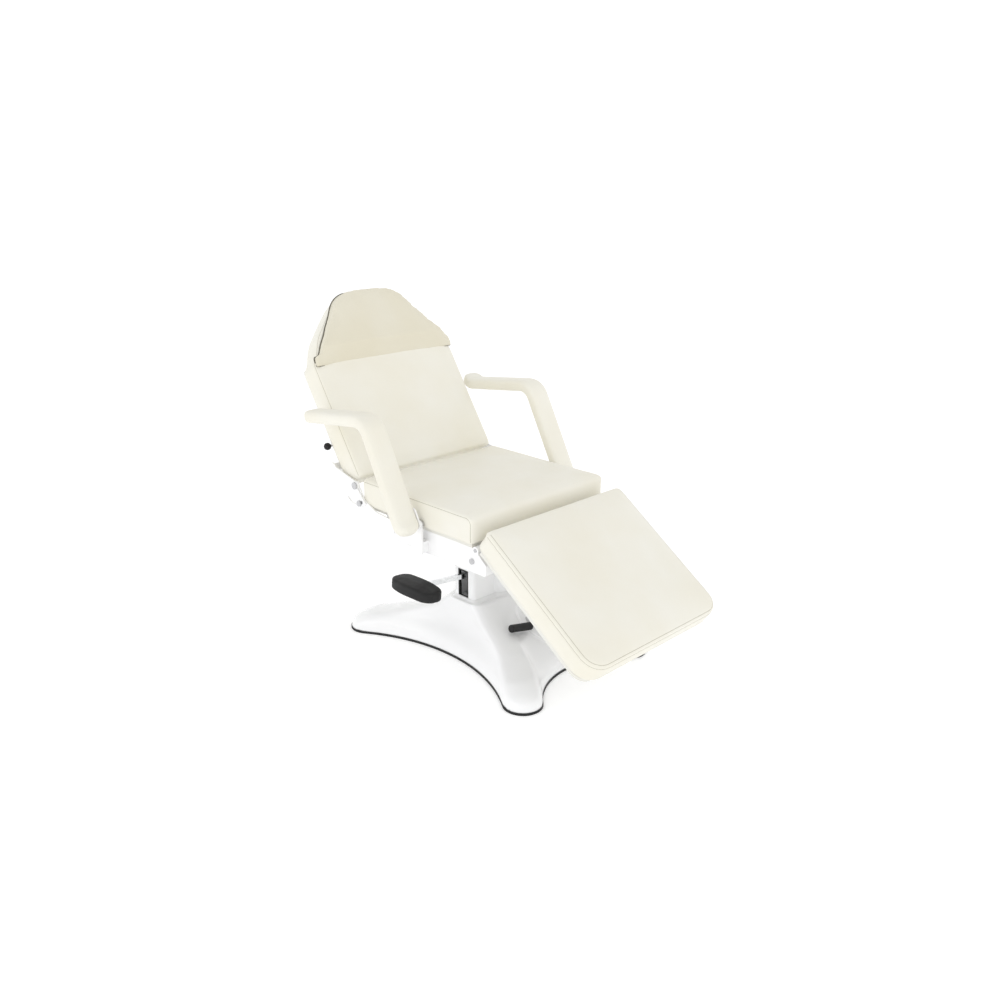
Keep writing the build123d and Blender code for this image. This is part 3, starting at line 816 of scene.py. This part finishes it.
def emboss_cover(obj):
    """Raised ring and shallow dish on each foot, and a round recess behind the lock lever."""
    _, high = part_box("base_shell")
    bush_low, bush_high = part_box("lock_lever_bush")
    bush = (bush_low + bush_high) / 2
    points, normals = coords(obj.data)
    for i, (p, n) in enumerate(zip(points, normals)):
        if p.y < 0 and n.y < -0.2:
            gap = math.hypot(p.x - bush.x, p.z - bush.z)
            p = p - n * (0.0045 * (1 - smoothstep(0.030, 0.044, gap))
                         - 0.0012 * math.exp(-((gap - 0.046) / 0.006) ** 2))
        if n.z > 0.1:
            reach = (Vector((abs(p.x), abs(p.y))) - Vector((high.x * 0.68, high.y * 0.72))).length
            fade = smoothstep(0.10, 0.45, n.z)
            p = p + n * fade * (0.0020 * math.exp(-((reach - 0.060) / 0.012) ** 2)
                                - 0.0015 * (1 - smoothstep(0.030, 0.062, reach)))
        points[i] = p
    set_coords(obj.data, points)


SHEET = 0.0025
cover = pressed_cover()
emboss_cover(cover)
thick = cover.modifiers.new("sheet", "SOLIDIFY")
thick.thickness = SHEET
thick.offset = -1
apply_modifiers(cover)
dress(cover, "base", "white_enamel")
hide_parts("base_shell")


def flange_bead():
    """Bead where the pump cover meets the base. The profile is (outwards, up)."""
    profile = ((-0.004, 0.010), (0.000, 0.0095), (0.002, 0.006), (0.004, 0.003), (0.008, 0.001),
               (0.013, -0.0005), (0.013, -0.003), (-0.004, -0.003))
    foot_line = resample(cap_loop("pump_cover", (0, 0, -1)), 0.004)
    z_foot = foot_line[0].z
    ring = inset([Vector((p.x, p.y)) for p in foot_line], -0.001, 0.004)
    turn = 1 if area2(ring) > 0 else -1
    n, rows = len(ring), len(profile)
    verts, faces = [], []
    for out_by, up in profile:
        for i in range(n):
            t = (ring[(i + 2) % n] - ring[i - 2]).normalized()
            q = ring[i] - Vector((-t.y, t.x)) * turn * out_by
            verts.append((q.x, q.y, z_foot + up))
    for k in range(rows):
        for i in range(n):
            j, m = (i + 1) % n, (k + 1) % rows
            faces.append((k * n + i, k * n + j, m * n + j, m * n + i))
    bead = finish_normals(add_object("column_flange", verts, faces))
    return dress(bead, "base", "white_enamel")


flange_bead()


# ------------------------------------------------------------------ pedal pad
def pedal_cover():
    """Thick moulded pad: D-shaped in plan, drooping at its ends and its outer edge."""
    pad = bpy.data.objects.new("pedal_tread", nodes["pedal_pad"].data.copy())
    bpy.context.scene.collection.objects.link(pad)
    remesh(pad, 0.003)
    low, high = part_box("pedal_pad")
    mid, half = (low + high) / 2, (high - low) / 2
    points, _ = coords(pad.data)
    for p in points:
        u = (p.y - mid.y) / half.y
        w = (p.x - mid.x) / half.x
        if w < 0:
            p.x += half.x * 0.42 * u * u * (-w)
        p.z -= half.z * (0.30 * u * u + 0.22 * max(0.0, -w)) * (0.5 + 0.5 * (p.z - mid.z) / half.z)
        p.z -= half.z * 0.20 * smoothstep(0.2, 1.0, -u)
    set_coords(pad.data, points)
    relax(pad, 6, 0.5)
    subdivide(pad)
    dress(pad, "pedal", "black_plastic")
    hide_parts("pedal_pad")


pedal_cover()


# ------------------------------------------------------------------ floor and light
floor = add_object("floor", [(-14, -14, 0), (14, -14, 0), (14, 14, 0), (-14, 14, 0)],
                   [(0, 1, 2, 3)], False)
floor_mat, tree, bsdf, coord = new_material("floor")
bsdf.inputs["Base Color"].default_value = (0.86, 0.86, 0.86, 1)
bsdf.inputs["Roughness"].default_value = 1.0
bsdf.inputs["Specular IOR Level"].default_value = 0.0
bsdf.inputs["Emission Color"].default_value = (1, 1, 1, 1)
bsdf.inputs["Emission Strength"].default_value = 0.32
floor.data.materials.append(floor_mat)


def area_light(name, position, size, power, aim=(0, 0, 0.5)):
    data = bpy.data.lights.new(name, "AREA")
    data.shape = "RECTANGLE"
    data.size, data.size_y = size
    data.energy = power
    obj = bpy.data.objects.new(name, data)
    bpy.context.scene.collection.objects.link(obj)
    obj.location = position
    obj.rotation_euler = (Vector(aim) - Vector(position)).to_track_quat("-Z", "Y").to_euler()
    return obj


area_light("key", (-4.8, 0.2, 1.5), (3.2, 2.4), 16)
area_light("front", (0.3, -3.8, 3.6), (2.4, 2.0), 16)
world = bpy.data.worlds.new("studio")
world.use_nodes = True
sky = world.node_tree
sky_coord = sky.nodes.new("ShaderNodeTexCoord")
split = sky.nodes.new("ShaderNodeSeparateXYZ")
sky.links.new(sky_coord.outputs["Generated"], split.inputs["Vector"])
sky.links.new(ramp(sky, split.outputs["Z"], [(0.0, (1.0, 1.0, 1.0)), (0.22, (1.0, 1.0, 1.0)),
                                            (0.85, (0.74, 0.745, 0.75))]),
              sky.nodes["Background"].inputs["Color"])
sky.nodes["Background"].inputs["Strength"].default_value = 1.12
bpy.context.scene.world = world
bpy.context.scene.view_settings.view_transform = "Standard"
bpy.context.scene.view_settings.exposure = 0.0
